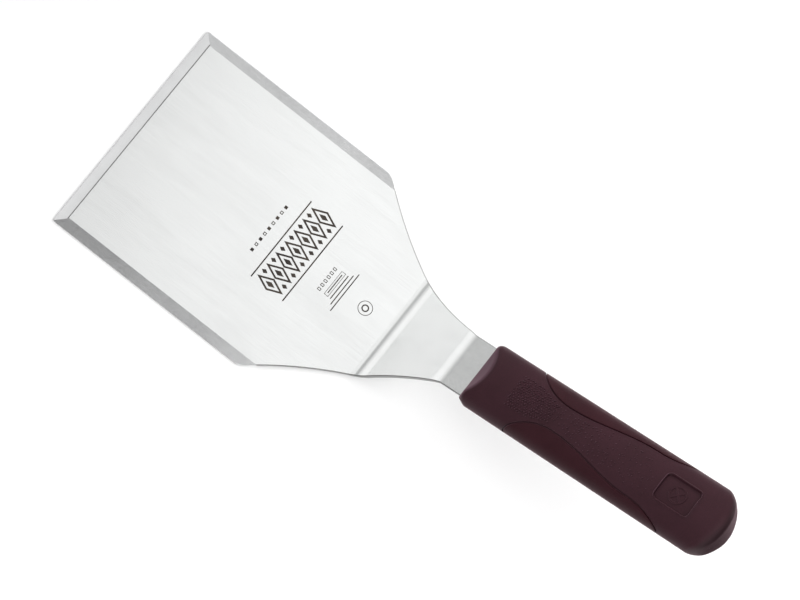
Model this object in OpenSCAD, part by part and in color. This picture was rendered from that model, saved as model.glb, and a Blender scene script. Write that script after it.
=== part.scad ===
// Heavy grill spatula: a bevel-ground steel blade on a cranked neck, with a moulded handle.
// The blade lies flat on z = 0 and its front edge faces +Y. The handle climbs towards -Y.

/* [Blade] */
// Width across the two ground side edges
blade_w = 127; // [110:1:140]
// Flat length, from the front edge to the first bend
flat_l = 168; // [150:1:190]
// Length of the straight, parallel side edges
side_l = 115; // [95:1:120]
// Sheet thickness
sheet_t = 2; // [1.5:0.1:2.5]
// Width of the ground bevel on the front and on both sides
bevel_w = 5.8; // [3:0.1:8]
// How far the bevel drops at the cutting edge
bevel_drop = 1.4; // [0.5:0.1:1.4]
// Radius on the two front corners, seen from above
corner_r = 1.2; // [0.5:0.1:3]
// Radius where each side edge turns into the shoulder
shoulder_r = 8; // [4:0.5:12]
// Radius of the hollow shoulder curve
flank_r = 235; // [200:5:300]

/* [Neck and shank] */
// Width of the sheet where the outline has its corner
bend_w = 59; // [50:0.5:66]
// Length of the sloping neck between the two bends
neck_l = 47; // [40:0.1:55]
// Radius of the hollow sides of the neck, seen from above
neck_r = 115; // [95:1:160]
// How far behind the first bend the outline has its corner
corner_back = 1; // [0:0.1:3]
// How far behind the second bend the hollow sides end
hollow_back = 1.9; // [0:0.1:4]
// Angle of the neck above the blade
neck_angle = 46.2; // [40:0.1:50]
// Angle of the shank and handle above the blade
handle_angle = 18.9; // [15:0.1:24]
// Inside radius of the first bend, on its upper side
valley_r = 12; // [6:0.5:14]
// Outside radius of the second bend, on its upper side
ridge_r = 15.5; // [8:0.5:18]
// Width of the shank
shank_w = 30.5; // [26:0.5:32]
// Length of bare shank between the second bend and the handle
shank_l = 14.7; // [12:0.1:20]

/* [Tang] */
// Length of the full-width shank inside the collar
shank_in_l = 9; // [5:1:15]
// Width of the hidden tang
tang_w = 21; // [16:1:24]
// Length of the tang inside the handle
tang_l = 112; // [90:1:120]
// Radius of the holes that the handle moulding fills
lock_hole_r = 3.5; // [2:0.1:4]
// Distance from the collar to the first of those holes
lock_hole_start = 22; // [20:1:30]
// Spacing of the holes
lock_hole_pitch = 26; // [22:1:27]
// Number of holes
lock_holes = 4; // [1:1:4]

/* [Handle] */
// Length of the handle along its own axis
handle_l = 152.5; // [140:0.5:165]
// Half width of the collar
collar_hw = 18.3; // [17:0.1:20]
// Half height of the handle at its crown
crown_hh = 11; // [10:0.1:12]
// Radius of the crown, across the handle
crown_r = 30; // [27:1:36]
// Sideways flare of each flank, in degrees
flare = 0.37; // [0:0.01:0.6]
// Radius of the butt, seen from above
butt_r = 24; // [21:0.5:28]
// Radius of the rim round the butt
rim_r = 5; // [2:0.5:8]
// Radius on the collar's corners, seen from above
collar_corner_r = 3.2; // [1:0.1:4]
// Lean of the collar's whole front, back from upright
front_lean = 19; // [0:0.5:25]
// Radius of the scoop in the collar's front
scoop_r = 50; // [35:1:60]
// Lean of the scoop, back from upright
scoop_lean = 38; // [30:1:42]

/* [Grip panels] */
// Distance from the collar to the narrowest place between the panels
waist_u = 52; // [48:0.5:56]
// Half width of the strip between the panels there
waist_hw = 7.35; // [6:0.05:9]
// Radius of the panels' front ends
panel_nose_r = 30; // [26:1:34]
// Distance from the collar to the end of the strip's flare
plateau_u = 102; // [96:1:106]
// Half width of the strip there
plateau_hw = 13.9; // [12:0.1:14.5]
// Radius of the panels' rear ends
panel_tail_r = 44; // [38:1:50]
// Thickness of the panels
panel_t = 3; // [2:0.1:4]
// Width of the groove round each panel
groove_w = 0.8; // [0.5:0.05:1.2]
// Depth of that groove
groove_d = 0.7; // [0.4:0.05:1]

/* [Badge] */
// Distance from the collar to the middle of the recessed badge
badge_u = 123.6; // [118:0.1:126]
// Length of the badge
badge_l = 20.2; // [16:0.1:24]
// Width of the badge
badge_w = 14.6; // [10:0.1:16]
// Radius on the badge's corners
badge_corner_r = 2.2; // [1:0.1:4]
// Depth of the recess below the crown
badge_d = 0.9; // [0.3:0.05:1]
// Height of the plain ring inside the recess
badge_relief = 0.3; // [0.1:0.05:0.5]
// Width of the lines of the ring and its cross
badge_line_w = 0.9; // [0.5:0.1:1.5]

/* [Hidden] */
$fn = 96;

front_y = flat_l / 2;
bend_y = -flat_l / 2;
side_end_y = front_y - side_l;
ridge_y = bend_y - neck_l * cos(neck_angle);
ridge_z = sheet_t + neck_l * sin(neck_angle);
collar_y = ridge_y - shank_l * cos(handle_angle);
collar_z = ridge_z + shank_l * sin(handle_angle);

// Straight run lost to each bend, measured from where the flats would meet
valley_run = valley_r * tan(neck_angle / 2);
ridge_turn = neck_angle - handle_angle;
ridge_run = ridge_r * tan(ridge_turn / 2);

big = 60;               // larger than any cross-section it trims
skim = 0.5;             // overshoot of a cutter past the surface it opens
outline_step = 2;       // longest step along a drawn arc
arc_min = 8;            // fewest steps on a drawn arc
seam_step = 1.5;        // spacing of the points along a panel seam
slope_step = 0.01;      // half of the short length over which a seam's slope is taken
smooth_fn = 240;        // sides of the large, flat curves
mark_share = 0.33;      // radius of the badge's ring as a share of the badge's width
butt_c = handle_l - butt_r;

// Cross-section: two crown arcs joined by a round flank on each side
// The flank's radius is the one that touches both crown arcs
side_r = (pow(crown_r, 2) - pow(collar_hw, 2) - pow(crown_r - crown_hh, 2))
       / (2 * (crown_r - collar_hw));
side_x = collar_hw - side_r;
touch_x = side_x * crown_r / (crown_r - side_r);

// Centre of the circle of radius rb round b that meets the one of radius ra round a
function meet(a, ra, b, rb, side) =
    let (d = norm(b - a), e = (b - a) / d, k = (d * d + ra * ra - rb * rb) / (2 * d))
    a + e * k + side * [-e[1], e[0]] * sqrt(ra * ra - k * k);

shoulder_c = [blade_w / 2 - shoulder_r, side_end_y];
bend_end = [bend_w / 2, bend_y - corner_back];
flank_mid = meet(shoulder_c, flank_r + shoulder_r, bend_end, flank_r, 1);
neck_end = [shank_w / 2, ridge_y - hollow_back];
neck_mid = meet(bend_end, neck_r, neck_end, neck_r, 1);

module both_sides() {
    children();
    mirror([1, 0]) children();
}

// Points along an arc round c, from its start (or from the point after it) to its end
function arc(c, r, a0, a1, first = 0) =
    let (n = max(arc_min, ceil(abs(a1 - a0) * r * PI / 180 / outline_step)))
    [for (i = [first : n]) c + r * [cos(a0 + (a1 - a0) * i / n), sin(a0 + (a1 - a0) * i / n)]];

// An outline and its mirror image as one list of points, going round the shape
function mirrored(pts) =
    concat(pts, [for (i = [len(pts) - 1 : -1 : 0]) [-pts[i][0], pts[i][1]]]);

function heading(v) = atan2(v[1], v[0]);

// The whole sheet seen from the side, drawn with y to the front and z up
module side_profile() {
    valley = [bend_y + valley_run, sheet_t + valley_r];
    neck_up = [sin(neck_angle), cos(neck_angle)];
    neck_back = [-cos(neck_angle), sin(neck_angle)];
    shank_up = [sin(handle_angle), cos(handle_angle)];
    shank_back = [-cos(handle_angle), sin(handle_angle)];
    ridge = [ridge_y, ridge_z] - ridge_run * neck_back - ridge_r * neck_up;
    tail = ridge + (shank_l - ridge_run + tang_l) * shank_back;
    polygon(concat(
        [[front_y, 0], [front_y, sheet_t]],
        arc(valley, valley_r, -90, -90 - neck_angle),
        arc(ridge, ridge_r, 90 - neck_angle, 90 - handle_angle),
        [tail + ridge_r * shank_up, tail + (ridge_r - sheet_t) * shank_up],
        arc(ridge, ridge_r - sheet_t, 90 - handle_angle, 90 - neck_angle),
        arc(valley, valley_r + sheet_t, -90 - neck_angle, -90)
    ));
}

// The blade and neck from above, with a slim tail that reaches under the shank's outline
module plan_outline() {
    corner_c = [blade_w / 2 - corner_r, front_y - corner_r];
    turn = heading(flank_mid - shoulder_c);
    polygon(mirrored(concat(
        arc(corner_c, corner_r, 90, 0),
        arc(shoulder_c, shoulder_r, 0, turn),
        arc(flank_mid, flank_r, 180 + turn, heading(bend_end - flank_mid), 1),
        arc(neck_mid, neck_r, heading(bend_end - neck_mid), heading(neck_end - neck_mid), 1),
        [[neck_end[0] - skim, neck_end[1]], [neck_end[0] - skim, collar_y]]
    )));
}

// Handle frame: y runs forward along the handle, z is its upper normal, and the origin
// is on the shank's upper face at the collar
module at_handle() {
    translate([0, collar_y, collar_z]) rotate([-handle_angle, 0, 0]) children();
}

// Shank and tang from above, in the handle frame
module tang_plan() {
    end_c = tang_l - tang_w / 2;
    polygon(mirrored([
        [shank_w / 2, shank_l], [shank_w / 2, -shank_in_l], [tang_w / 2, -shank_in_l],
        [tang_w / 2, -end_c]
    ]));
    translate([0, -end_c]) circle(d = tang_w);
}

module lock_hole_row() {
    for (i = [0 : lock_holes - 1])
        translate([0, -lock_hole_start - i * lock_hole_pitch, -sheet_t / 2])
            cylinder(r = lock_hole_r, h = 3 * sheet_t, center = true);
}

// Shank and tang alone, which is the room that the handle leaves for them
module tang() {
    at_handle() difference() {
        translate([0, 0, -sheet_t]) linear_extrude(sheet_t) tang_plan();
        lock_hole_row();
    }
}

// Wedge that grinds one edge; y is the direction out through the edge
module grind(length) {
    slope = atan(bevel_drop / bevel_w);
    translate([-length / 2, -bevel_w, sheet_t]) rotate([-slope, 0, 0])
        cube([length, 3 * bevel_w, bevel_drop * 3]);
}

module blade() color("gainsboro") {
    difference() {
        intersection() {
            rotate([90, 0, 90]) linear_extrude(blade_w + 2 * skim, center = true) side_profile();
            union() {
                linear_extrude(collar_z) plan_outline();
                at_handle() translate([0, 0, -big / 2]) linear_extrude(big) tang_plan();
            }
        }
        translate([0, front_y, 0]) grind(blade_w + 4 * bevel_w);
        for (s = [-1, 1])
            translate([s * blade_w / 2, 0, 0]) rotate([0, 0, -s * 90]) grind(2 * flat_l);
        at_handle() lock_hole_row();
    }
}

// The handle's cross-section, shrunk all round by inset
module section(inset) {
    top_c = crown_hh - crown_r;
    intersection() {
        translate([0, top_c]) circle(r = crown_r - inset, $fn = smooth_fn);
        translate([0, -top_c]) circle(r = crown_r - inset, $fn = smooth_fn);
        square([2 * touch_x, big], center = true);
    }
    both_sides() translate([side_x, 0]) circle(r = side_r - inset);
}

// Solid handle, before the collar, butt and panels are cut; each flank flares on its own
module stock(inset) {
    translate([0, 0, -sheet_t / 2]) intersection() {
        union() {
            for (s = [0, 1]) mirror([s, 0, 0]) intersection() {
                rotate([0, 0, flare]) translate([0, skim, 0]) rotate([90, 0, 0])
                    linear_extrude(handle_l + 2 * skim) section(inset);
                translate([0, -2 * handle_l, -big]) cube([big, 2 * handle_l, 2 * big]);
            }
        }
        butt_limit(inset);
    }
}

// Everything ahead of the butt's centre, and a round-rimmed disc behind it
module butt_limit(inset) {
    hh = crown_hh - inset;
    rim = rim_r - min(inset, rim_r / 2);
    r = butt_r - inset;
    translate([-big / 2, -butt_c, -big / 2]) cube([big, butt_c, big]);
    translate([0, -butt_c, 0]) rotate_extrude() {
        translate([0, -hh]) square([r - rim, 2 * hh]);
        translate([0, rim - hh]) square([r, 2 * (hh - rim)]);
        for (s = [-1, 1]) translate([r - rim, s * (hh - rim)]) circle(r = rim);
    }
}

// Half width of the centre strip at distance u behind the collar
function seam(u) =
    u < waist_u
        ? waist_hw + panel_nose_r - sqrt(pow(panel_nose_r, 2) - pow(u - waist_u, 2))
        : u < plateau_u
            ? waist_hw + (plateau_hw - waist_hw) * (1 - cos(180 * (u - waist_u)
                / (plateau_u - waist_u))) / 2
            : plateau_hw + pow(u - plateau_u, 2) / (2 * panel_tail_r);

panel_reach = collar_hw + 4;    // the seam is drawn out past the flank to here
seam_u0 = waist_u - sqrt(pow(panel_nose_r, 2) - pow(waist_hw + panel_nose_r - panel_reach, 2));
seam_u1 = plateau_u + sqrt(2 * panel_tail_r * (panel_reach - plateau_hw));
seam_n = ceil((seam_u1 - seam_u0) / seam_step);

// Point on the right seam, moved outwards (away from the strip) by gap
function seam_point(i, gap) =
    let (u = seam_u0 + (seam_u1 - seam_u0) * i / seam_n,
         slope = (seam(u + slope_step) - seam(u - slope_step)) / (2 * slope_step),
         len = sqrt(1 + slope * slope))
    [seam(u) + gap / len, -u + gap * slope / len];

// The right-hand area that the panel covers, seen from above
module panel_zone(gap) {
    translate([0, 0, -big / 2]) linear_extrude(big)
        polygon([for (i = [0 : seam_n]) seam_point(i, gap)]);
}

// What is taken off the front of the collar, on the upper side: the lean and the hollow scoop
module front_cut() {
    rotate([front_lean, 0, 0]) translate([-big / 2, 0, -crown_hh / 2]) cube(big);
    rotate([scoop_lean, 0, 0]) translate([0, scoop_r, -crown_hh / 2])
        cylinder(r = scoop_r, h = 3 * crown_hh, $fn = smooth_fn);
}

// Limit that rounds the collar's corners, seen from above
module collar_plan() {
    r = collar_corner_r;
    polygon(mirrored(concat(
        arc([collar_hw - r, -r], r, 90, 0),
        [[big / 2, -big / 2], [big / 2, -handle_l - big]]
    )));
}

module badge_plan() {
    r = badge_corner_r;
    x = badge_w / 2 - r;
    y = badge_l / 2 - r;
    polygon(mirrored(concat(arc([x, y], r, 90, 0), arc([x, -y], r, 0, -90))));
}

// Plain ring and cross that stand in the recess
module badge_mark_plan() {
    mark_r = badge_w * mark_share;
    difference() {
        circle(r = mark_r);
        circle(r = mark_r - badge_line_w);
    }
    for (a = [-45, 45]) rotate(a)
        square([2 * mark_r - badge_line_w, badge_line_w], center = true);
}

module badge_cut() {
    difference() {
        translate([0, -badge_u, 0]) linear_extrude(big) badge_plan();
        stock(badge_d);
        intersection() {
            translate([0, -badge_u, 0]) linear_extrude(big) badge_mark_plan();
            stock(badge_d - badge_relief);
        }
    }
}

module handle_core() color([0.24, 0.16, 0.19]) {
    difference() {
        at_handle() difference() {
            intersection() {
                stock(0);
                translate([0, 0, -big / 2]) linear_extrude(big) collar_plan();
            }
            for (s = [0, 1]) mirror([s, 0, 0]) {
                difference() {
                    panel_zone(-groove_w / 2);
                    stock(groove_d);
                }
                difference() {
                    panel_zone(groove_w / 2);
                    stock(panel_t);
                }
            }
            front_cut();
            translate([0, 0, -sheet_t]) mirror([0, 0, 1]) front_cut();
            badge_cut();
        }
        tang();
    }
}

module grip_panel() {
    at_handle() difference() {
        intersection() {
            stock(0);
            panel_zone(groove_w / 2);
        }
        stock(panel_t);
    }
}

module grip_panel_right() color([0.22, 0.13, 0.16]) grip_panel();

module grip_panel_left() color([0.22, 0.13, 0.16]) mirror([1, 0, 0]) grip_panel();

blade();
handle_core();
grip_panel_left();
grip_panel_right();
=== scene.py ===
"""Looks of a grill spatula: a ground steel blade on a cranked neck and a moulded nylon handle."""
import math

import bmesh
import bpy
import numpy as np
from mathutils import Matrix, Vector
from mathutils.geometry import delaunay_2d_cdt


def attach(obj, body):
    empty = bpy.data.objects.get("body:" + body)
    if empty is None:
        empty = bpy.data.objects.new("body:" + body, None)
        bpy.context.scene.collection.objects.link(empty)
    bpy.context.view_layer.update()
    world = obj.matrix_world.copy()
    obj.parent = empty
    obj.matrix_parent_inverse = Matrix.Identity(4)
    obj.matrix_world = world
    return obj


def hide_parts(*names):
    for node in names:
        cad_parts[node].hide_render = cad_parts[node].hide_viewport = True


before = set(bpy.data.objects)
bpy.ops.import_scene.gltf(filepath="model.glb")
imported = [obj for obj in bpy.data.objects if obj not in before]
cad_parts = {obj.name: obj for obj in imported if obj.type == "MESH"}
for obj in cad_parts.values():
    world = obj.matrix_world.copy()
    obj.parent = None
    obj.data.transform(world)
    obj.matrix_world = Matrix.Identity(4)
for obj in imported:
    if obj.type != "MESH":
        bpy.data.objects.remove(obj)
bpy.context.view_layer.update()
MM = 0.001

# ---------------------------------------------------------------- dimensions, in mm and degrees
BLADE_W, FLAT_L, SIDE_L, SHEET_T = 127.0, 168.0, 115.0, 2.0
BEVEL_W, BEVEL_DROP, CORNER_R, SHOULDER_R, FLANK_R = 5.8, 1.4, 1.2, 8.0, 235.0
BEND_W, NECK_L, NECK_R, NECK_ANGLE, HANDLE_ANGLE = 59.0, 47.0, 115.0, 46.2, 18.9
VALLEY_R, RIDGE_R, SHANK_W, SHANK_L = 12.0, 15.5, 30.5, 14.7
CORNER_BACK, HOLLOW_BACK = 1.0, 1.9
SHANK_IN_L, TANG_W, TANG_L = 9.0, 21.0, 112.0
LOCK_HOLE_R, LOCK_HOLE_START, LOCK_HOLE_PITCH, LOCK_HOLES = 3.5, 22.0, 26.0, 4
HANDLE_L, COLLAR_HW, CROWN_HH, CROWN_R, FLARE = 152.5, 18.3, 11.0, 30.0, 0.37
BUTT_R, RIM_R, COLLAR_CORNER_R, FRONT_LEAN = 24.0, 5.0, 3.2, 19.0
SCOOP_R, SCOOP_LEAN = 50.0, 38.0
WAIST_U, WAIST_HW, PANEL_NOSE_R, PLATEAU_U = 52.0, 7.35, 30.0, 102.0
PLATEAU_HW, PANEL_TAIL_R, PANEL_T, GROOVE_W, GROOVE_D = 13.9, 44.0, 3.0, 0.8, 0.7
BADGE_U, BADGE_L, BADGE_W, BADGE_CORNER_R, BADGE_D = 123.6, 20.2, 14.6, 2.2, 0.9
BADGE_RELIEF, MARK_SHARE, MARK_LINE = 0.3, 0.33, 0.9

FRONT_Y = FLAT_L / 2
BEND_Y = -FLAT_L / 2
SIDE_END_Y = FRONT_Y - SIDE_L
NECK_A, HANDLE_A = math.radians(NECK_ANGLE), math.radians(HANDLE_ANGLE)
RIDGE_Y = BEND_Y - NECK_L * math.cos(NECK_A)
RIDGE_Z = SHEET_T + NECK_L * math.sin(NECK_A)
COLLAR_Y = RIDGE_Y - SHANK_L * math.cos(HANDLE_A)
COLLAR_Z = RIDGE_Z + SHANK_L * math.sin(HANDLE_A)
VALLEY_RUN = VALLEY_R * math.tan(NECK_A / 2)
RIDGE_RUN = RIDGE_R * math.tan((NECK_A - HANDLE_A) / 2)
SIDE_R = (CROWN_R**2 - COLLAR_HW**2 - (CROWN_R - CROWN_HH)**2) / (2 * (CROWN_R - COLLAR_HW))
SIDE_X = COLLAR_HW - SIDE_R
CROWN_A = math.asin(SIDE_X / (CROWN_R - SIDE_R))
CROWN_X = CROWN_R * math.sin(CROWN_A)
MARK_R = BADGE_W * MARK_SHARE

# Edge details too small for the CAD
EDGE_R = 0.34            # rounding on every edge of the sheet, less where it is ground thin
EDGE_MID = 0.3           # the middle of that rounding, as a share of its radius
CREASE_W = 0.60          # width of the steeper step where the grinding starts
CREASE_DROP = 0.2        # depth of that step
LIP_R = 2.0              # rounding on the collar's front edge
BUTT_WALL_R = 3.2        # rounding of the butt's rim at the flanks


# ---------------------------------------------------------------- small helpers
def arc(cx, cy, r, a0, a1, step=1.0):
    """Points along an arc, about a step apart, angles in degrees, both ends included."""
    least = 6
    n = max(least, math.ceil(abs(math.radians(a1 - a0)) * r / step))
    a = np.radians(np.linspace(a0, a1, n + 1))
    return np.c_[cx + r * np.cos(a), cy + r * np.sin(a)]


def circle(cx, cy, r, step):
    """A closed loop, without the last point that repeats the first."""
    return arc(cx, cy, r, 0, 360, step)[:-1]


def meet(a, ra, b, rb):
    """Centre on the left of a to b, ra from a and rb from b."""
    a, b = np.array(a), np.array(b)
    d = np.linalg.norm(b - a)
    e = (b - a) / d
    k = (d * d + ra * ra - rb * rb) / (2 * d)
    return a + e * k + np.array([-e[1], e[0]]) * math.sqrt(ra * ra - k * k)


def heading(v):
    return math.degrees(math.atan2(v[1], v[0]))


def tidy_line(pts, gap=1e-4):
    """The points without those that repeat the one before."""
    keep = [pts[0]]
    for p in pts[1:]:
        if np.linalg.norm(np.array(p) - keep[-1]) > gap:
            keep.append(np.array(p))
    return np.array(keep)


def inset_loop(loop, d):
    """A closed counter-clockwise loop moved inwards by d, with mitred corners."""
    a = loop - np.roll(loop, 1, 0)
    b = np.roll(loop, -1, 0) - loop
    a /= np.linalg.norm(a, axis=1)[:, None]
    b /= np.linalg.norm(b, axis=1)[:, None]
    m = np.c_[-a[:, 1], a[:, 0]] + np.c_[-b[:, 1], b[:, 0]]
    return loop + m * (2 * d / (m * m).sum(1))[:, None]


def resample(loop, step):
    """A closed loop with evenly spaced points."""
    closed = np.vstack([loop, loop[:1]])
    run = np.r_[0, np.cumsum(np.linalg.norm(np.diff(closed, axis=0), axis=1))]
    n = max(8, int(round(run[-1] / step)))
    at = np.linspace(0, run[-1], n + 1)[:-1]
    return np.c_[np.interp(at, run, closed[:, 0]), np.interp(at, run, closed[:, 1])]


def distance(pts, loop):
    """Distance from each point to a closed loop, positive inside it."""
    best = np.full(len(pts), np.inf)
    inside = np.zeros(len(pts), bool)
    for p, q in zip(loop, np.roll(loop, -1, 0)):
        e = q - p
        w = pts - p
        k = np.clip((w @ e) / (e @ e), 0, 1)
        best = np.minimum(best, ((w - k[:, None] * e)**2).sum(1))
        if p[1] != q[1]:
            cross = (p[1] > pts[:, 1]) != (q[1] > pts[:, 1])
            inside ^= cross & (pts[:, 0] < p[0] + e[0] * (pts[:, 1] - p[1]) / e[1])
    return np.sqrt(best) * np.where(inside, 1, -1)


class Plane:
    """Points and lines in a plane that a Delaunay triangulation then joins."""

    def __init__(self):
        self.pts, self.tag, self.edges = [], [], []

    def add(self, pts, tag=0.0):
        first = len(self.pts)
        self.pts += [Vector((float(p[0]), float(p[1]))) for p in pts]
        self.tag += list(np.broadcast_to(tag, (len(pts),)))
        return first

    def line(self, pts, tag=0.0, closed=False):
        n, first = len(pts), self.add(pts, tag)
        last = n if closed else n - 1
        self.edges += [(first + i, first + (i + 1) % n) for i in range(last)]

    def triangles(self):
        """Points, each point's tag (nan where two lines cross) and the triangles."""
        out = delaunay_2d_cdt(self.pts, self.edges, [], 0, 1e-7)
        pts = np.array([tuple(v) for v in out[0]])
        tag = np.array([self.tag[ids[0]] if ids else math.nan for ids in out[3]])
        return pts, tag, np.array([tuple(f) for f in out[2]])


def closed_shell(tris, n):
    """Faces of a sheet whose lower points follow its n upper ones: both sides and the walls."""
    edges = {(t[i], t[(i + 1) % 3]): None for t in tris for i in range(3)}
    faces = [tuple(t) for t in tris] + [tuple(t[::-1] + n) for t in tris]
    return faces + [(b, a, a + n, b + n) for a, b in edges if (b, a) not in edges]


def piece(name, verts, faces, node=None, sharp=35.0, merge=1e-4):
    """A finished mesh object, from points in mm, on the tool's one body."""
    bm = bmesh.new()
    vs = [bm.verts.new(Vector(v) * MM) for v in verts]
    for f in faces:
        if len(set(f)) == len(f) and not bm.faces.get([vs[i] for i in f]):
            bm.faces.new([vs[i] for i in f])
    bmesh.ops.remove_doubles(bm, verts=bm.verts, dist=merge * MM)
    bmesh.ops.dissolve_degenerate(bm, dist=merge * MM * 0.5, edges=bm.edges)
    loose = [v for v in bm.verts if not v.link_faces]
    bmesh.ops.delete(bm, geom=loose, context="VERTS")
    bmesh.ops.recalc_face_normals(bm, faces=bm.faces)
    mesh = bpy.data.meshes.new(name)
    bm.to_mesh(mesh)
    bm.free()
    mesh.shade_smooth()
    mesh.set_sharp_from_angle(angle=math.radians(sharp))
    obj = bpy.data.objects.new(name, mesh)
    bpy.context.scene.collection.objects.link(obj)
    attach(obj, "root")
    if node:
        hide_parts(node)
    return obj


# ---------------------------------------------------------------- the sheet: blade to tang
VALLEY_STEPS, RIDGE_STEPS = 16, 14
BEND_MARGIN = 0.5        # a line of points this far outside each end of a bend
OVERHANG = 1.0           # how far construction lines run past the sheet


def sheet_path():
    """Stations along the sheet's upper face, front to back: run, y, z, lean of the face."""
    rows = [(0.0, FRONT_Y, SHEET_T, 0.0)]

    def straight(length):
        s, y, z, a = rows[-1]
        rows.append((s + length, y - length * math.cos(a), z + length * math.sin(a), a))

    def bend(r, turn, n):
        for _ in range(n):
            s, y, z, a = rows[-1]
            da = turn / n
            chord = 2 * r * math.sin(abs(da) / 2)
            mid = a + da / 2
            rows.append((s + r * abs(da), y - chord * math.cos(mid), z + chord * math.sin(mid),
                         a + da))

    straight(FLAT_L - VALLEY_RUN)
    bend(VALLEY_R, NECK_A, VALLEY_STEPS)
    straight(NECK_L - VALLEY_RUN - RIDGE_RUN)
    bend(RIDGE_R, HANDLE_A - NECK_A, RIDGE_STEPS)
    straight(SHANK_L - RIDGE_RUN + TANG_L)
    return np.array(rows)


PATH = sheet_path()
TANG_END_S = PATH[-1, 0]
COLLAR_S = TANG_END_S - TANG_L


def run_at(y):
    """Run along the sheet at a place given seen from above."""
    return np.interp(-np.asarray(y), -PATH[:, 1], PATH[:, 0])


def sheet_point(x, s, depth):
    """Points at a depth below the sheet's upper face."""
    y, z, a = (np.interp(s, PATH[:, 0], PATH[:, i]) for i in (1, 2, 3))
    return np.c_[x, y - depth * np.sin(a), z - depth * np.cos(a)]


def sheet_outline():
    """The sheet's flat pattern as a closed counter-clockwise loop of (x, run)."""
    shoulder = (BLADE_W / 2 - SHOULDER_R, SIDE_END_Y)
    bend_end = (BEND_W / 2, BEND_Y - CORNER_BACK)
    neck_end = (SHANK_W / 2, RIDGE_Y - HOLLOW_BACK)
    flank = meet(shoulder, FLANK_R + SHOULDER_R, bend_end, FLANK_R)
    neck = meet(bend_end, NECK_R, neck_end, NECK_R)
    turn = heading(flank - shoulder)
    seen = np.vstack([
        arc(BLADE_W / 2 - CORNER_R, FRONT_Y - CORNER_R, CORNER_R, 90, 0, step=0.15),
        arc(*shoulder, SHOULDER_R, 0, turn, step=0.5),
        arc(*flank, FLANK_R, 180 + turn, heading(bend_end - flank), step=1.5),
        arc(*neck, NECK_R, heading(bend_end - neck), heading(neck_end - neck), step=1.2),
    ])
    half = np.c_[seen[:, 0], run_at(seen[:, 1])]
    tip = TANG_END_S - TANG_W / 2
    step_s = COLLAR_S + SHANK_IN_L
    half = np.vstack([half, [[SHANK_W / 2, step_s], [TANG_W / 2, step_s]],
                      arc(0, tip, TANG_W / 2, 0, 90, step=0.8)])
    half = tidy_line(half)
    other = half[::-1] * [-1, 1]
    return tidy_line(np.vstack([half, other[1:]]))


def bevel_depth(x, y):
    """How far the ground bevel lowers the upper face."""
    side = np.interp(BLADE_W / 2 - np.abs(x), [0, BEVEL_W], [BEVEL_DROP, 0])
    front = np.interp(FRONT_Y - y, [0, BEVEL_W - CREASE_W, BEVEL_W], [BEVEL_DROP, CREASE_DROP, 0])
    return np.maximum(side, front)


def add_bevel_lines(plane):
    """The lines where the ground bevels start, the front one's step, and the two mitres."""
    x, end = BLADE_W / 2 - BEVEL_W, SIDE_L + SHOULDER_R + 2 * OVERHANG
    plane.line([(-x, end), (-x, BEVEL_W), (x, BEVEL_W), (x, end)])
    step_at = BEVEL_W - CREASE_W
    step_x = x + BEVEL_W * CREASE_DROP / BEVEL_DROP
    plane.line([(-step_x, step_at), (step_x, step_at)])
    for side in (-1, 1):
        plane.line([(side * x, BEVEL_W), (side * step_x, step_at), (side * BLADE_W / 2, 0)])


def add_bend_lines(plane):
    """Lines across the sheet at every station of its path, and just outside each bend."""
    wide = BLADE_W / 2 + OVERHANG
    runs = list(PATH[1:-1, 0])
    valley, ridge = 1, VALLEY_STEPS + 2
    for start, end in ((valley, valley + VALLEY_STEPS), (ridge, ridge + RIDGE_STEPS)):
        runs += [PATH[start, 0] - BEND_MARGIN, PATH[end, 0] + BEND_MARGIN]
    for s in runs:
        plane.line([(-wide, s), (wide, s)])


def build_sheet():
    """The one steel sheet: flat blade, neck, shank and tang."""
    outline = sheet_outline()
    holes = [circle(0, COLLAR_S + LOCK_HOLE_START + i * LOCK_HOLE_PITCH, LOCK_HOLE_R, 0.8)
             for i in range(LOCK_HOLES)]
    plane = Plane()
    for d in (0, EDGE_R * EDGE_MID, EDGE_R):
        plane.line(inset_loop(outline, d), closed=True)
    for h in holes:
        plane.line(h, closed=True)
    add_bevel_lines(plane)
    add_bend_lines(plane)
    pts, _, tris = plane.triangles()
    mid = pts[tris].mean(1)
    keep = distance(mid, outline) > 0
    for h in holes:
        keep &= distance(mid, h) < 0
    x, s = pts[:, 0], pts[:, 1]
    y = np.interp(s, PATH[:, 0], PATH[:, 1])
    ground = np.where(s < FLAT_L, bevel_depth(x, y), 0)
    edge = np.interp(distance(pts, outline), [0, EDGE_R * EDGE_MID, EDGE_R],
                     [EDGE_R, EDGE_R * EDGE_MID, 0])
    edge *= 1 - ground / SHEET_T
    verts = np.vstack([sheet_point(x, s, ground + edge), sheet_point(x, s, SHEET_T - edge)])
    obj = piece("blade_sheet", verts, closed_shell(tris[keep], len(pts)), "blade",
                sharp=9.0, merge=1e-3)
    weighted = obj.modifiers.new("face_normals", "WEIGHTED_NORMAL")
    weighted.keep_sharp = True
    return obj


# ---------------------------------------------------------------- the handle's surface
CROWN_RUN = CROWN_R * CROWN_A
QUARTER = CROWN_RUN + SIDE_R * (math.pi / 2 - CROWN_A)
SCOOP_BLEND = 0.02       # softens the line where the scoop meets the plain front


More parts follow.
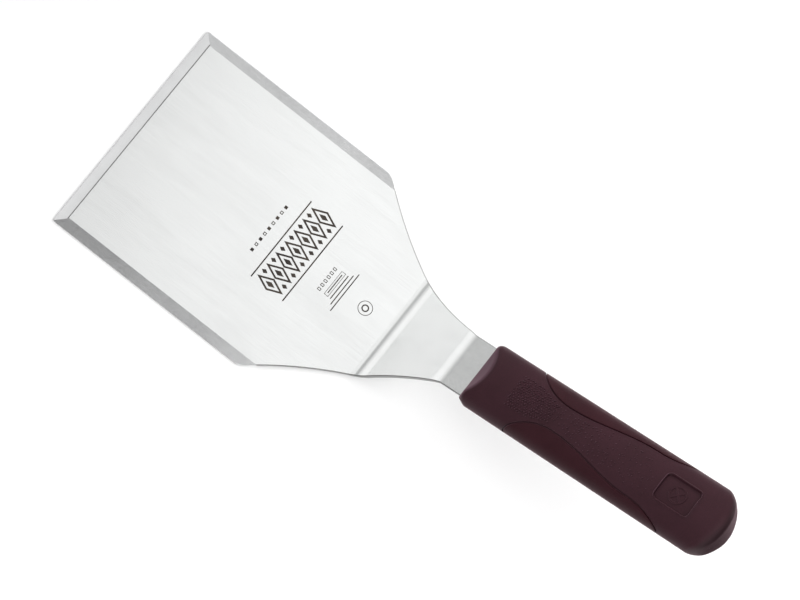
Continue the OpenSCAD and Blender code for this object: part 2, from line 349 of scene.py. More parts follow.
def section(t):
    """The cross-section at run t from the top centre: x, z and the outward normal."""
    t = np.asarray(t, float)
    side = np.where(t < 0, -1.0, 1.0)
    q = np.abs(t)
    under = q > QUARTER
    q = np.where(under, 2 * QUARTER - q, q)
    a = np.where(q < CROWN_RUN, q / CROWN_R, CROWN_A + (q - CROWN_RUN) / SIDE_R)
    on_crown = q < CROWN_RUN
    x = np.where(on_crown, CROWN_R * np.sin(a), SIDE_X + SIDE_R * np.sin(a))
    z = np.where(on_crown, CROWN_HH - CROWN_R + CROWN_R * np.cos(a), SIDE_R * np.cos(a))
    down = np.where(under, -1.0, 1.0)
    return side * x, down * z, side * np.sin(a), down * np.cos(a)


def section_run(x):
    """Run from the top centre to half width x on the upper side."""
    x = np.clip(x, 0, COLLAR_HW)
    crown = CROWN_R * np.arcsin(np.minimum(x / CROWN_R, 1))
    flank = CROWN_RUN + SIDE_R * (np.arcsin(np.clip((x - SIDE_X) / SIDE_R, -1, 1)) - CROWN_A)
    return np.where(x < CROWN_X, crown, flank)


def widening(u):
    """How much wider the handle is at u than at the collar."""
    return 1 + math.tan(math.radians(FLARE)) * np.asarray(u) / COLLAR_HW


def place(x, u, z):
    """Handle coordinates (z from the middle plane) to the shared frame."""
    z = np.asarray(z) - SHEET_T / 2
    c, s = math.cos(HANDLE_A), math.sin(HANDLE_A)
    return np.c_[x, COLLAR_Y - u * c + z * s, COLLAR_Z + u * s + z * c]


def skin(u, t, h):
    """Points on the handle's surface, raised by h."""
    x, z, nx, nz = section(t)
    return place((x + h * nx) * widening(u), u, z + h * nz)


def front_u(x, z):
    """Where the collar's front face is, at a place across it."""
    x, up = np.abs(x), np.abs(z) - SHEET_T / 2
    lean = math.radians(SCOOP_LEAN)
    bow = SCOOP_R - np.sqrt(SCOOP_R**2 - x**2)
    scoop = up * math.tan(lean) - bow / math.cos(lean)
    plain = up * math.tan(math.radians(FRONT_LEAN))
    further = 0.5 * (scoop + plain + np.sqrt((scoop - plain)**2 + SCOOP_BLEND))
    over = np.clip((x - COLLAR_HW + COLLAR_CORNER_R) / COLLAR_CORNER_R, 0, 0.999)
    return further + COLLAR_CORNER_R * (1 - np.sqrt(1 - over**2))


def butt_u(x, z):
    """Where the butt's end wall is."""
    return HANDLE_L - BUTT_R + np.sqrt(np.maximum(BUTT_R**2 - np.square(x), 0))


def seam(u):
    """Half width of the strip between the two panels."""
    nose = WAIST_HW + PANEL_NOSE_R - np.sqrt(
        np.maximum(PANEL_NOSE_R**2 - np.square(u - WAIST_U), 0))
    swell = WAIST_HW + (PLATEAU_HW - WAIST_HW) * (
        1 - np.cos(math.pi * (u - WAIST_U) / (PLATEAU_U - WAIST_U))) / 2
    tail = PLATEAU_HW + np.square(u - PLATEAU_U) / (2 * PANEL_TAIL_R)
    return np.where(u < WAIST_U, nose, np.where(u < PLATEAU_U, swell, tail))


def leaf():
    """The right panel's outline in (u, t), evenly spaced, counter-clockwise."""
    search, points, step = 4000, 400, 0.7
    u = np.linspace(WAIST_U - PANEL_NOSE_R, HANDLE_L, search)
    inside = np.where(seam(u) / widening(u) < COLLAR_HW)[0]
    u0, u1 = u[inside[0]], u[inside[-1]]
    u = u0 + (u1 - u0) * (1 - np.cos(np.linspace(0, math.pi, points))) / 2
    t = section_run(seam(u) / widening(u))
    t[0] = t[-1] = QUARTER
    loop = np.vstack([np.c_[u, t], np.c_[u, 2 * QUARTER - t][-2:0:-1]])
    return resample(tidy_line(loop, 1e-3), step)


def columns():
    """The runs round the section where the long lines of the mesh lie."""
    crown_lines, flank_lines = 15, 13
    crown = np.linspace(0, CROWN_RUN, crown_lines)
    flank = np.linspace(CROWN_RUN, QUARTER, flank_lines)[1:]
    q = np.r_[crown, flank]
    half = np.r_[q, (2 * QUARTER - q)[::-1][1:]]
    return np.r_[-half[::-1], half[1:]]


# ---------------------------------------------------------------- the handle's details
COLS = columns()
MAIN_U0, MAIN_U1, ROW_STEP = 14.0, 136.0, 1.1
# Profiles across a detail's outline: (distance inside it, height)
CORE_EDGE = ((-1.15, 0.0), (-0.85, 0.05), (-0.60, 0.05), (-0.45, -0.08), (-0.39, -GROOVE_D),
             (GROOVE_W / 2 - 0.02, -GROOVE_D), (GROOVE_W / 2 + 0.02, -PANEL_T))
PANEL_EDGE = ((GROOVE_W / 2 + 0.02, -0.30), (GROOVE_W / 2 + 0.05, -0.14),
              (GROOVE_W / 2 + 0.13, -0.035), (GROOVE_W / 2 + 0.28, 0.0))
PANEL_BACK = -PANEL_T + 0.02
# The badge's rim as (distance outside its outline, height), and the device's slope
BADGE_EDGE = ((0.85, 0.0), (0.55, 0.26), (0.25, 0.28), (0.08, 0.05), (-0.08, -BADGE_D))
MARK_SLOPE = 0.08

# Rings of a raised dot: radius, share of its height, points
DOT_RINGS = ((0.50, 0.0, 8), (0.38, 0.45, 8), (0.2, 0.9, 6), (0.0, 1.0, 1))
DOT_SEED, DOT_PITCH, DOT_ROW_RATIO, DOT_ROWS, DOTS_IN_ROW = 7, 1.4, 0.866, 8, 70
DOTS_U0, DOTS_U1, DOT_H, DOT_JITTER, DOT_BASE = 23.4, 109.0, 0.22, 0.10, 0.55
# A dense patch behind the collar: its ends, half width, and the nose that it widens from
PATCH_U0, PATCH_U1, PATCH_HW, NOSE_U, NOSE_HW, NOSE_SLOPE = 22.5, 48.0, 9.6, 22.0, 2.2, 2.6
# How far dots stray from their places and how much they vary in height, there and beyond
PATCH_SPREAD, PATCH_VARY, STRAY_SPREAD, STRAY_VARY = 1.6, 0.36, 3.0, 0.50
# The share of places that have a stray dot, how it fades, and the strip that they keep to
STRAY_SHARE, STRAY_FADE, STRIP_U, STRIP_WIDENING, STRIP_MARGIN = 0.46, 0.0048, 30.0, 1.02, 2.0

# Mesh points keep this far from the lines of a detail
CLEAR = 0.45
CORE_CLEAR, BADGE_CLEAR, BADGE_IN_CLEAR = CLEAR * 0.7, CLEAR * 0.5, CLEAR + 0.15
DOT_CLEAR = DOT_RINGS[0][0] + 0.1


def badge_outline(grow):
    """The badge's rounded rectangle in (u, t), grown by an offset."""
    r = BADGE_CORNER_R + grow
    a, b = BADGE_L / 2 + grow - r, BADGE_W / 2 + grow - r
    pts = np.vstack([arc(BADGE_U + su * a, st * b, r, q, q + 90, step=0.4)
                     for su, st, q in ((1, 1, 0), (-1, 1, 90), (-1, -1, 180), (1, -1, 270))])
    return resample(pts, 0.6)


def badge_gaps(shrink):
    """The four openings between the ring and the bars of the badge's plain device."""
    half, r = MARK_LINE / 2 + shrink, MARK_R - MARK_LINE - shrink
    a = math.degrees(math.asin(half / r))
    tip = half * math.sqrt(2)
    gap = np.vstack([[[tip, 0]], arc(0, 0, r, -45 + a, 45 - a, step=0.5)])
    out = []
    for q in range(4):
        c, s = math.cos(math.radians(90 * q)), math.sin(math.radians(90 * q))
        out.append(gap @ np.array([[c, s], [-s, c]]) + [BADGE_U, 0])
    return out


def add_badge(plane):
    """The badge's recess, and the plain ring and cross that stand in it."""
    for grow, h in BADGE_EDGE:
        plane.line(badge_outline(grow), h, closed=True)
    raised = BADGE_RELIEF - BADGE_D
    for r, h in ((MARK_R, -BADGE_D), (MARK_R - MARK_SLOPE, raised)):
        plane.line(circle(BADGE_U, 0, r, 0.4), h, closed=True)
    for shrink, h in ((0.0, raised), (MARK_SLOPE, -BADGE_D)):
        for gap in badge_gaps(shrink):
            plane.line(gap, h, closed=True)


def dots():
    """The raised dots as (u, t, height): the patch behind the collar, then the stray ones."""
    rng = np.random.default_rng(DOT_SEED)
    out = []
    for i in range(-DOT_ROWS, DOT_ROWS + 1):
        for j in range(DOTS_IN_ROW):
            t = i * DOT_PITCH * DOT_ROW_RATIO
            u = PATCH_U0 + (j + (i % 2) / 2) * DOT_PITCH
            strip = float(seam(np.array(max(u, STRIP_U)))) / STRIP_WIDENING - STRIP_MARGIN
            nose = NOSE_HW + (u - NOSE_U) * NOSE_SLOPE
            chance, jitter = rng.random(), rng.normal(0, DOT_JITTER, 2)
            if not DOTS_U0 < u < DOTS_U1 or abs(t) > min(PATCH_HW, strip, nose):
                continue
            if u < PATCH_U1:
                spread, vary = PATCH_SPREAD, PATCH_VARY
            elif chance < STRAY_SHARE - STRAY_FADE * (u - PATCH_U1):
                spread, vary = STRAY_SPREAD, STRAY_VARY
            else:
                continue
            out.append((u + spread * jitter[0], t + spread * jitter[1], DOT_H + vary * chance))
    return out


def add_dot(plane, u, t, height):
    for r, share, n in DOT_RINGS:
        a = np.arange(n) * 2 * math.pi / n
        r *= DOT_BASE + height
        plane.add(np.c_[u + r * np.cos(a), t + r * np.sin(a)], share * height)


def core_skin():
    """The moulding's surface between its two ends, with the panels' beds and all details."""
    right = leaf()
    left = (right * [1, -1])[::-1]
    rows = np.linspace(MAIN_U0, MAIN_U1, int((MAIN_U1 - MAIN_U0) / ROW_STEP) + 1)
    plane = Plane()
    for u in (MAIN_U0, MAIN_U1):
        plane.line(np.c_[np.full(len(COLS), u), COLS])
    for t in (-COLS[-1], COLS[-1]):
        plane.line(np.c_[rows, np.full(len(rows), t)])
    grid = np.array([(u, t) for u in rows[1:-1] for t in COLS[1:-1]])
    tag = np.zeros(len(grid))
    keep = np.ones(len(grid), bool)
    for loop in (right, left):
        d = distance(grid, loop)
        keep &= (d < CORE_EDGE[0][0] - CORE_CLEAR) | (d > CORE_EDGE[-1][0] + CLEAR)
        tag[d > 0] = -PANEL_T
        for off, h in CORE_EDGE:
            plane.line(inset_loop(loop, off), h, closed=True)
    d = distance(grid, badge_outline(0))
    keep &= (d > BADGE_IN_CLEAR) | (d < -BADGE_EDGE[0][0] - BADGE_CLEAR)
    keep &= np.hypot(grid[:, 0] - BADGE_U, grid[:, 1]) > MARK_R + CLEAR
    tag[d > 0] = -BADGE_D
    add_badge(plane)
    for u, t, height in dots():
        keep &= np.hypot(grid[:, 0] - u, grid[:, 1] - t) > DOT_CLEAR
        add_dot(plane, u, t, height)
    plane.add(grid[keep], tag[keep])
    pts, tag, tris = plane.triangles()
    return skin(pts[:, 0], pts[:, 1], np.nan_to_num(tag)), [tuple(t) for t in tris]


# ---------------------------------------------------------------- the moulding's two ends
ROUNDING_STEPS = 8       # rings round the edge of an end face
CLOSE_HW = 11.0          # half width of the line on which an end face closes
RIM_TURN_AT, RIM_TURN_W = CROWN_X * 0.6, 8.0    # where the butt's rim narrows, and over what width


def end_rings(end_u, start_u, cut, wall, steps, insets):
    """Rings of points from start_u on the skin to an end face, round its edge and across it.

    The rounding starts at cut before the end face and ends at wall inside the skin.
    """
    x, z, nx, nz = section(COLS[:-1])
    w = widening(end_u(x, z))
    end = end_u(x * w, z)
    rings = []
    for k in np.linspace(0, 1, steps):
        u = start_u + (end - cut - start_u) * k
        rings.append(place(x * widening(u), u, z))
    ax, au = x * widening(end - cut), end - cut
    bx, bz = (x - wall * nx) * w, z - wall * nz
    bu = end_u(bx, bz)
    for k in np.linspace(0, 1, ROUNDING_STEPS + 1)[1:]:
        wa, wc, wb = (1 - k)**2, 2 * k * (1 - k) * math.sqrt(0.5), k**2
        total = wa + wb + wc
        rings.append(place((ax * wa + x * w * wc + bx * wb) / total,
                           (au * wa + end * wc + bu * wb) / total,
                           (z * wa + z * wc + bz * wb) / total))
    for d in insets:
        px, pz = (x - d * nx) * w, z - d * nz
        rings.append(place(px, end_u(px, pz), pz))
    flat = SHEET_T / 2
    for k, low in ((0.4, 0), (0.75, 0), (1.0, 1), (1.0, 0)):
        qx = px + (np.clip(px, -CLOSE_HW, CLOSE_HW) - px) * k
        qz = pz + (np.clip(pz, -flat, flat) * low - pz) * k
        rings.append(place(qx, end_u(qx, np.maximum(np.abs(qz), flat)), qz))
    return rings


def butt_rim():
    """The rounding of the butt's rim round the section, smaller at the flanks."""
    x = section(COLS[:-1])[0]
    k = np.clip((np.abs(x) - RIM_TURN_AT) / RIM_TURN_W, 0, 1)
    return RIM_R + (BUTT_WALL_R - RIM_R) * k * k * (3 - 2 * k)


def build_core():
    """The nylon moulding: collar, centre strip, badge and butt."""
    points, faces = core_skin()
    verts = [points]
    rim = butt_rim()
    for rings in (end_rings(front_u, MAIN_U0, -LIP_R, LIP_R, 12, (2.5, 3.2, 4.0, 4.8, 5.6)),
                  end_rings(butt_u, MAIN_U1, rim, rim, 7, (6.0, 7.0))):
        n, first = len(rings[0]), sum(map(len, verts))
        verts += rings
        for a in range(first, first + n * (len(rings) - 1), n):
            faces += [(a + i, a + (i + 1) % n, a + n + (i + 1) % n, a + n + i) for i in range(n)]
    return piece("handle_moulding", np.vstack(verts), faces, "handle_core")


def build_panel(name, node, side):
    """A side panel, with its rounded edge along the groove."""
    loop = leaf()
    plane = Plane()
    for off, h in PANEL_EDGE:
        plane.line(inset_loop(loop, off), h, closed=True)
    grid = np.array([(u, t) for u in np.arange(MAIN_U0, MAIN_U1, ROW_STEP) for t in COLS if t > 0])
    plane.add(grid[distance(grid, loop) > PANEL_EDGE[-1][0] + CLEAR])
    pts, tag, tris = plane.triangles()
    rim = inset_loop(loop, PANEL_EDGE[0][0])
    tris = tris[distance(pts[tris].mean(1), rim) > 0]
    outer = skin(pts[:, 0], pts[:, 1], np.nan_to_num(tag))
    inner = skin(pts[:, 0], pts[:, 1], np.full(len(pts), PANEL_BACK))
    verts = np.vstack([outer, inner]) * [side, 1, 1]
    return piece(name, verts, closed_shell(tris, len(pts)), node)


# ---------------------------------------------------------------- the plain printed marking
INK_UP, INK_DOWN = 0.02, 0.01    # how far the ink stands above the sheet, and reaches into it


def ink_shapes():
    """Plain shapes as (outer loop, inner loop or None) on the blade, in mm."""
    shapes = []

    def box(cx, cy, w, h, line=None):
        def corners(a, b):
            return np.array([(cx - a, cy - b), (cx + a, cy - b), (cx + a, cy + b),
                             (cx - a, cy + b)])
        shapes.append((corners(w / 2, h / 2), None if line is None
                       else corners(w / 2 - line, h / 2 - line)))

    def lozenge(cx, cy, w, h, line=None):
        def corners(k):
            return np.array([(cx, cy - h / 2 * k), (cx + w / 2 * k, cy), (cx, cy + h / 2 * k),
                             (cx - w / 2 * k, cy)])
        shapes.append((corners(1), None if line is None else corners(1 - line)))

    def ring(cx, cy, r, line):
        outer = circle(cx, cy, r, 0.4)
        centre = np.array([cx, cy])
        shapes.append((outer, outer * (1 - line / r) + centre * line / r))

    # A band of lozenges, one inside another, between two rules
    band_x, band_y, pitch = 1.5, -21.0, 7.4
    for i in range(-3, 4):
        lozenge(band_x + i * pitch, band_y, 7.2, 16.5, 0.30)
        lozenge(band_x + i * pitch, band_y, 2.6, 6.0)
    for side in (-1, 1):
        box(band_x, band_y + side * 10.0, 50.0, 0.7)
        for i in range(-3, 3):
            lozenge(band_x + (i + 0.5) * pitch, band_y + side * 6.3, 2.4, 3.6)
    # A row of squares on each side of the band
    for i in range(9):
        box(-12.2 + i * 3.5, -3.0, 1.7, 1.7, 0.4 if i % 2 else None)
    for i in range(6):
        box(-6.8 + i * 2.6, -41.6, 1.5, 2.0, 0.35)
    # A framed rule with three more below it, then two rings
    box(0.2, -46.2, 15.0, 2.6, 0.25)
    for x, y, w in ((0.2, -46.2, 12.0), (0.2, -49.0, 15.0), (0.0, -50.9, 19.0),
                    (-0.2, -52.8, 24.0)):
        box(x, y, w, 0.55)
    ring(0.0, -65.7, 3.9, 0.35)
    ring(0.0, -65.7, 2.0, 0.7)
    return shapes


def build_marking():
    """The marking's shapes as thin plates that stand just proud of the blade."""
    verts, faces = [], []
    for outer, inner in ink_shapes():
        first, n = len(verts), len(outer)
        for loop in (outer,) if inner is None else (outer, inner):
            for z in (SHEET_T + INK_UP, SHEET_T - INK_DOWN):
                verts += [(x, y, z) for x, y in loop]
        top, low, top_in, low_in = (tuple(range(first + k * n, first + (k + 1) * n))
                                    for k in range(4))
        if inner is None:
            faces += [top, low[::-1]]
        for i in range(n):
            j = (i + 1) % n
            faces.append((low[i], low[j], top[j], top[i]))
            if inner is not None:
                faces.append((top_in[i], top_in[j], low_in[j], low_in[i]))
                faces.append((top[i], top[j], top_in[j], top_in[i]))
                faces.append((low[j], low[i], low_in[i], low_in[j]))
    return piece("blade_marking", verts, faces)


# ---------------------------------------------------------------- materials
class Paint:
    """A procedural material as it is put together. Texture scales are in cycles per metre."""

    def __init__(self, name):
        self.mat = bpy.data.materials.new(name)
        self.mat.use_nodes = True
        self.tree = self.mat.node_tree
        self.bsdf = self.tree.nodes["Principled BSDF"]
        self.coord = self.tree.nodes.new("ShaderNodeTexCoord").outputs

    def link(self, a, b):
        self.tree.links.new(a, b)

    def set(self, **values):
        for name, value in values.items():
            self.bsdf.inputs[name.replace("_", " ")].default_value = value

    def scaled(self, scale):
        m = self.tree.nodes.new("ShaderNodeMapping")
        m.inputs["Scale"].default_value = scale
        self.link(self.coord["Object"], m.inputs["Vector"])
        return m.outputs["Vector"]

    def noise(self, scale, detail=2.0, rough=0.5, distortion=0.0):
        n = self.tree.nodes.new("ShaderNodeTexNoise")
        n.inputs["Scale"].default_value = 1.0
        n.inputs["Detail"].default_value = detail
        n.inputs["Roughness"].default_value = rough
        n.inputs["Distortion"].default_value = distortion
        self.link(self.scaled(scale), n.inputs["Vector"])
        return n.outputs["Fac"]

    def cells(self, scale):
        n = self.tree.nodes.new("ShaderNodeTexVoronoi")
        n.inputs["Scale"].default_value = 1.0
        self.link(self.scaled(scale), n.inputs["Vector"])
        return n.outputs["Distance"]

    def facing(self, sign):
        """How far the surface faces along +Y or -Y: 1 where it faces straight that way."""
        split = self.tree.nodes.new("ShaderNodeSeparateXYZ")
        self.link(self.coord["Normal"], split.inputs[0])
        m = self.tree.nodes.new("ShaderNodeMath")
        m.operation = "MULTIPLY"
        m.inputs[1].default_value = sign
        self.link(split.outputs["Y"], m.inputs[0])
        return m.outputs["Value"]

    def ramp(self, fac, *stops):
        """A colour or grey ramp; a stop is (place, grey or RGB)."""
        r = self.tree.nodes.new("ShaderNodeValToRGB")
        elements = r.color_ramp.elements
        while len(elements) < len(stops):
            elements.new(0.5)
        for e, (at, value) in zip(elements, stops):
            e.position = at
            rgb = (value,) * 3 if isinstance(value, (int, float)) else value
            e.color = (*rgb, 1.0)
        self.link(fac, r.inputs["Fac"])
        return r.outputs["Color"]

    def mix(self, a, b, blend, fac=1.0):
        m = self.tree.nodes.new("ShaderNodeMix")
        m.data_type, m.blend_type = "RGBA", blend
        m.inputs[0].default_value = fac
        self.link(a, m.inputs[6])
        self.link(b, m.inputs[7])
        return m.outputs[2]

    def times(self, a, b):
        return self.mix(a, b, "MULTIPLY")

    def blend(self, a, b):
        return self.mix(a, b, "MIX", 0.5)

    def bump(self, height, strength, depth, after=None):
        b = self.tree.nodes.new("ShaderNodeBump")
        b.inputs["Strength"].default_value = strength
        b.inputs["Distance"].default_value = depth
        self.link(height, b.inputs["Height"])
        if after is not None:
            self.link(after, b.inputs["Normal"])
        return b.outputs["Normal"]

    def finish(self, colour, rough, normal=None):
        self.link(colour, self.bsdf.inputs["Base Color"])
        self.link(rough, self.bsdf.inputs["Roughness"])
        if normal is not None:
            self.link(normal, self.bsdf.inputs["Normal"])
        return self.mat


def steel(name, grain, tone, rough, bump):
    """Ground stainless sheet. Grain is the scale of the grinding lines along x, y and z."""
    darker, coarser, rough_spread = 0.975, 0.28, 0.035
    p = Paint(name)
    p.set(Metallic=1.0)
    lines = p.noise(grain, 3.0, 0.6)
    coarse = p.noise(tuple(g * coarser for g in grain), 2.0, 0.5)
    cloud = p.noise((26, 26, 26), 3.0, 0.55)
    smear = p.noise((90, 14, 60), 3.0, 0.6, 0.6)
    colour = p.ramp(cloud, (0.3, tuple(c * darker for c in tone)), (0.7, tone))
    colour = p.times(colour, p.ramp(smear, (0.3, 0.965), (0.6, 1.0)))
    colour = p.times(colour, p.ramp(lines, (0.25, 0.95), (0.75, 1.0)))
    roughness = p.ramp(p.blend(cloud, lines),
                       (0.25, rough - rough_spread), (0.75, rough + rough_spread))
    normal = p.bump(lines, bump, 0.00002)
    normal = p.bump(coarse, bump, 0.00004, normal)
    return p.finish(colour, roughness, normal)


def nylon(name, tone, light):
    """Dark moulded nylon with a fine texture, painted paler on the collar's front face as painted
    light and darker on the butt's end as painted shade.
    """
    shine, butt_shine, sheen_tint = 0.17, 0.02, (1.0, 0.62, 0.72, 1.0)
    # These scale the colour by which way the surface faces: painted light on the collar's front
    # face, painted shade on the butt's end
    front_painted_light, butt_painted_shade = (3.2, 5.2, 4.8), 0.40
    p = Paint(name)
    p.set(Specular_IOR_Level=shine, Sheen_Weight=0.20, Sheen_Roughness=0.35, Sheen_Tint=sheen_tint)
    p.link(p.ramp(p.facing(-1), (0.45, shine), (0.80, butt_shine)),
           p.bsdf.inputs["Specular IOR Level"])
    cloud = p.noise((60, 60, 60), 3.0, 0.55)
    spark = p.noise((1500, 1500, 1500), 2.0, 0.6)
    fine = p.cells((2300, 2300, 2300))
    colour = p.ramp(cloud, (0.3, tone), (0.72, light))
    # Painted light: the collar's front face, facing +Y, made paler
    colour = p.times(colour, p.ramp(p.facing(1), (0.62, (1, 1, 1)), (0.86, front_painted_light)))
    # Painted shade: the butt's end, facing -Y, made darker
    colour = p.times(colour, p.ramp(p.facing(-1), (0.10, 1.0), (0.75, butt_painted_shade)))
    colour = p.times(colour, p.ramp(spark, (0.3, 0.78), (0.7, 1.0)))
    roughness = p.ramp(p.blend(cloud, spark), (0.25, 0.50), (0.75, 0.62))
    normal = p.bump(spark, 0.55, 0.00009)
    normal = p.bump(fine, 0.30, 0.00004, normal)
    return p.finish(colour, roughness, normal)


def ink():
    """Dark etched marking, slightly uneven."""
    p = Paint("etched_ink")
    p.set(Metallic=0.35, Specular_IOR_Level=0.3)
    grain = p.noise((1800, 300, 900), 2.0, 0.6)
    patch = p.noise((120, 120, 120), 2.0, 0.5)
    colour = p.ramp(patch, (0.35, (0.040, 0.033, 0.030)), (0.65, (0.072, 0.058, 0.046)))
    colour = p.times(colour, p.ramp(grain, (0.3, 0.7), (0.7, 1.0)))
    return p.finish(colour, p.ramp(grain, (0.3, 0.42), (0.7, 0.6)))


def paper():
    """Pale studio floor."""
    p = Paint("pale_floor")
    p.set(Specular_IOR_Level=0.1)
    cloud = p.noise((3, 3, 3), 2.0)
    colour = p.ramp(cloud, (0.3, 0.955), (0.7, 0.965))
    return p.finish(colour, p.ramp(cloud, (0.3, 0.9), (0.7, 0.95)))


# Two of these paints are painted shade: a dark tone on the rounded edges and a mid grey on the
# steps and side walls
BEVEL, EDGE_SHADE, STEP_SHADE = 1, 2, 3      # the places of three of the sheet's paints in its list


def paint_sheet(obj):
    """Brushed faces and ground bevels, with painted shade: dark on the rounded cut edges and a mid
    grey for steps and side walls.
    """
    faces_up, faces_sideways, upright = 0.5, 0.985, 0.25
    for paint in (steel("brushed_steel", (2600, 60, 2600), (0.86, 0.87, 0.865), 0.24, 0.09),
                  steel("ground_bevel", (500, 500, 3000), (0.86, 0.865, 0.87), 0.25, 0.05),
                  # Painted shade: a dark tone on the rounded cut edges, which are also rougher
                  steel("cut_edge_painted_shade", (900, 900, 200), (0.20, 0.20, 0.195), 0.42, 0.3),
                  # Painted shade: a mid grey on the crease step where the grinding starts and on
                  # the upright side walls
                  steel("ground_step_painted_shade", (500, 500, 3000), (0.33, 0.33, 0.33), 0.30, 0.05)):
        obj.data.materials.append(paint)
    bevel_x, bevel_y = (BLADE_W / 2 - BEVEL_W) * MM, (FRONT_Y - BEVEL_W) * MM
    for face in obj.data.polygons:
        c, normal = face.center, face.normal
        on_blade = c.y > (BEND_Y + VALLEY_RUN) * MM and normal.z > faces_up
        if on_blade and (abs(c.x) > bevel_x or c.y > bevel_y):
            in_step = abs(c.x) < bevel_x and c.y < bevel_y + CREASE_W * MM
            face.material_index = STEP_SHADE if in_step else BEVEL
        elif abs(c.x) < bevel_x and c.y < bevel_y:
            lean = 0 if c.y > BEND_Y * MM else NECK_A if c.y > RIDGE_Y * MM else HANDLE_A
            rise = normal.y * math.sin(lean) + normal.z * math.cos(lean)
            if math.hypot(normal.y, normal.z) < faces_sideways:
                face.material_index = STEP_SHADE if abs(rise) < upright else EDGE_SHADE


# ---------------------------------------------------------------- floor, camera, light
def add_object(name, data):
    obj = bpy.data.objects.new(name, data)
    bpy.context.scene.collection.objects.link(obj)
    return obj


def add_floor():
    """A plain pale floor, just under the blade."""
    half_size, gap = 6.0, 0.0002
    bm = bmesh.new()
    bmesh.ops.create_grid(bm, x_segments=8, y_segments=8, size=half_size)
    mesh = bpy.data.meshes.new("floor")
    bm.to_mesh(mesh)
    bm.free()
    mesh.materials.append(paper())
    floor = add_object("floor", mesh)
    floor.location.z = -gap


def add_camera():
    """A long lens almost straight above, with the handle turned down to the right."""
    at = Vector((-0.762353, -0.166760, 2.899791))
    aim = Vector((0.0141, -0.0768, 0.0034))
    rightward = Vector((0.602, -0.787, 0.137))
    data = bpy.data.cameras.new("camera")
    data.sensor_width, data.lens, data.clip_end = 36.0, 269.13, 50.0
    camera = add_object("camera", data)
    back = (at - aim).normalized()
    right = (rightward - back * rightward.dot(back)).normalized()
    turn = Matrix((right, back.cross(right), back)).transposed()
    camera.matrix_world = Matrix.Translation(at) @ turn.to_4x4()
    bpy.context.scene.camera = camera
    bpy.context.scene.view_settings.view_transform = "Standard"


# Brightness of the light tent by height, from the horizon and below at 0 to straight up at 1
TENT = ((0.0, 1.14), (0.15, 1.14), (0.45, 1.16), (0.60, 0.82), (0.735, 0.37), (0.780, 0.39),
        (0.835, 1.30), (0.875, 1.16), (0.925, 0.92), (0.955, 0.40), (0.975, 0.15), (1.0, 0.10))
TENT_PEAK = 1.5
SCREEN, SIDE_SCREEN = 0.35, 0.5      # the share of it that comes through each screen


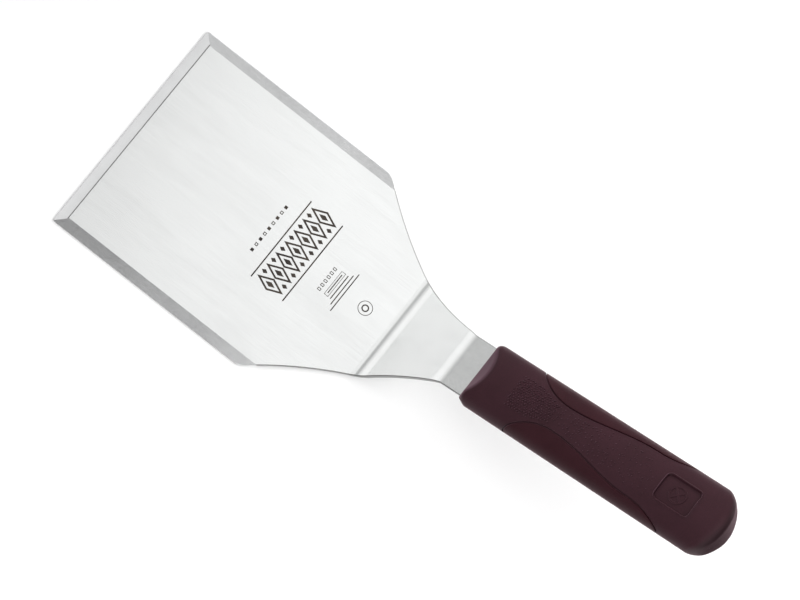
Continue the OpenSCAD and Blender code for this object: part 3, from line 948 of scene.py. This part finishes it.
def add_tent():
    """A soft light tent: bright low down, a dimmer band half way up and dimmest overhead.

    One screen darkens it low down, except beyond the blade's front. Another is on the -X side.
    """
    world = bpy.data.worlds.new("studio")
    bpy.context.scene.world = world
    world.use_nodes = True
    nodes, link = world.node_tree.nodes, world.node_tree.links.new

    def rise(value, low, high, least):
        """Maps low..high of a value to least..1, softly."""
        m = nodes.new("ShaderNodeMapRange")
        m.interpolation_type = "SMOOTHSTEP"
        link(value, m.inputs["Value"])
        for name, number in (("From Min", low), ("From Max", high), ("To Min", least),
                             ("To Max", 1.0)):
            m.inputs[name].default_value = number
        return m.outputs["Result"]

    def times(a, b):
        m = nodes.new("ShaderNodeMix")
        m.data_type, m.blend_type = "RGBA", "MULTIPLY"
        m.inputs[0].default_value = 1.0
        link(a, m.inputs[6])
        link(b, m.inputs[7])
        return m.outputs[2]

    split = nodes.new("ShaderNodeSeparateXYZ")
    link(nodes.new("ShaderNodeTexCoord").outputs["Generated"], split.inputs[0])
    tent = nodes.new("ShaderNodeValToRGB")
    tent.color_ramp.interpolation = "EASE"
    while len(tent.color_ramp.elements) < len(TENT):
        tent.color_ramp.elements.new(0.5)
    for element, (at, level) in zip(tent.color_ramp.elements, TENT):
        element.position = at
        element.color = (level / TENT_PEAK,) * 3 + (1.0,)
    link(split.outputs["Z"], tent.inputs["Fac"])
    screen = nodes.new("ShaderNodeMath")
    screen.operation = "MAXIMUM"
    link(rise(split.outputs["Y"], 0.1, 0.7, SCREEN), screen.inputs[0])
    link(rise(split.outputs["Z"], 0.3, 0.6, SCREEN), screen.inputs[1])
    colour = times(tent.outputs["Color"], screen.outputs["Value"])
    colour = times(colour, rise(split.outputs["X"], -0.25, 0.15, SIDE_SCREEN))
    sky = nodes["Background"]
    link(colour, sky.inputs["Color"])
    sky.inputs["Strength"].default_value = TENT_PEAK


def softbox(name, at, aim, width, height, radiance, glare=True):
    """A soft rectangular lamp that the camera doesn't see. Without glare it isn't reflected."""
    data = bpy.data.lights.new(name, "AREA")
    data.shape, data.size, data.size_y = "RECTANGLE", width, height
    data.energy = radiance * math.pi * width * height
    lamp = add_object(name, data)
    lamp.location = at
    lamp.rotation_euler = (Vector(aim) - Vector(at)).to_track_quat("-Z", "Y").to_euler()
    lamp.visible_camera = False
    lamp.visible_glossy = glare


# ---------------------------------------------------------------- build
paint_sheet(build_sheet())
handle_nylon = nylon("handle_nylon", (0.0315, 0.0090, 0.0138), (0.039, 0.0118, 0.0180))
panel_nylon = nylon("panel_nylon", (0.0265, 0.0042, 0.0077), (0.0325, 0.0061, 0.0104))
build_core().data.materials.append(handle_nylon)
for label, side in (("right", 1), ("left", -1)):
    pad = build_panel("grip_pad_" + label, "grip_panel_" + label, side)
    pad.data.materials.append(panel_nylon)
build_marking().data.materials.append(ink())

add_floor()
add_camera()
add_tent()
softbox("key_softbox", (0.42, -0.29, 1.10), (0.42, -0.29, 0.0), 0.90, 1.00, 0.71)
softbox("rear_softbox", (-0.28, -0.52, 1.10), (-0.28, -0.52, 0.0), 0.76, 0.92, 1.9)
softbox("back_softbox", (0.05, -1.75, 1.50), (0.0, -0.45, 0.0), 1.6, 1.0, 1.8)
softbox("side_softbox", (-1.45, -1.85, 0.95), (0.0, -0.25, 0.07), 0.6, 0.6, 10.0)
# These two are for the handle, and would leave a glare on the steel from some sides
softbox("flank_softbox", (0.38, -0.25, 0.24), (0.0, -0.24, 0.09), 0.2, 0.2, 8.0, glare=False)
softbox("far_softbox", (-1.60, 1.30, 1.20), (0.0, -0.10, 0.05), 1.4, 1.0, 1.1, glare=False)
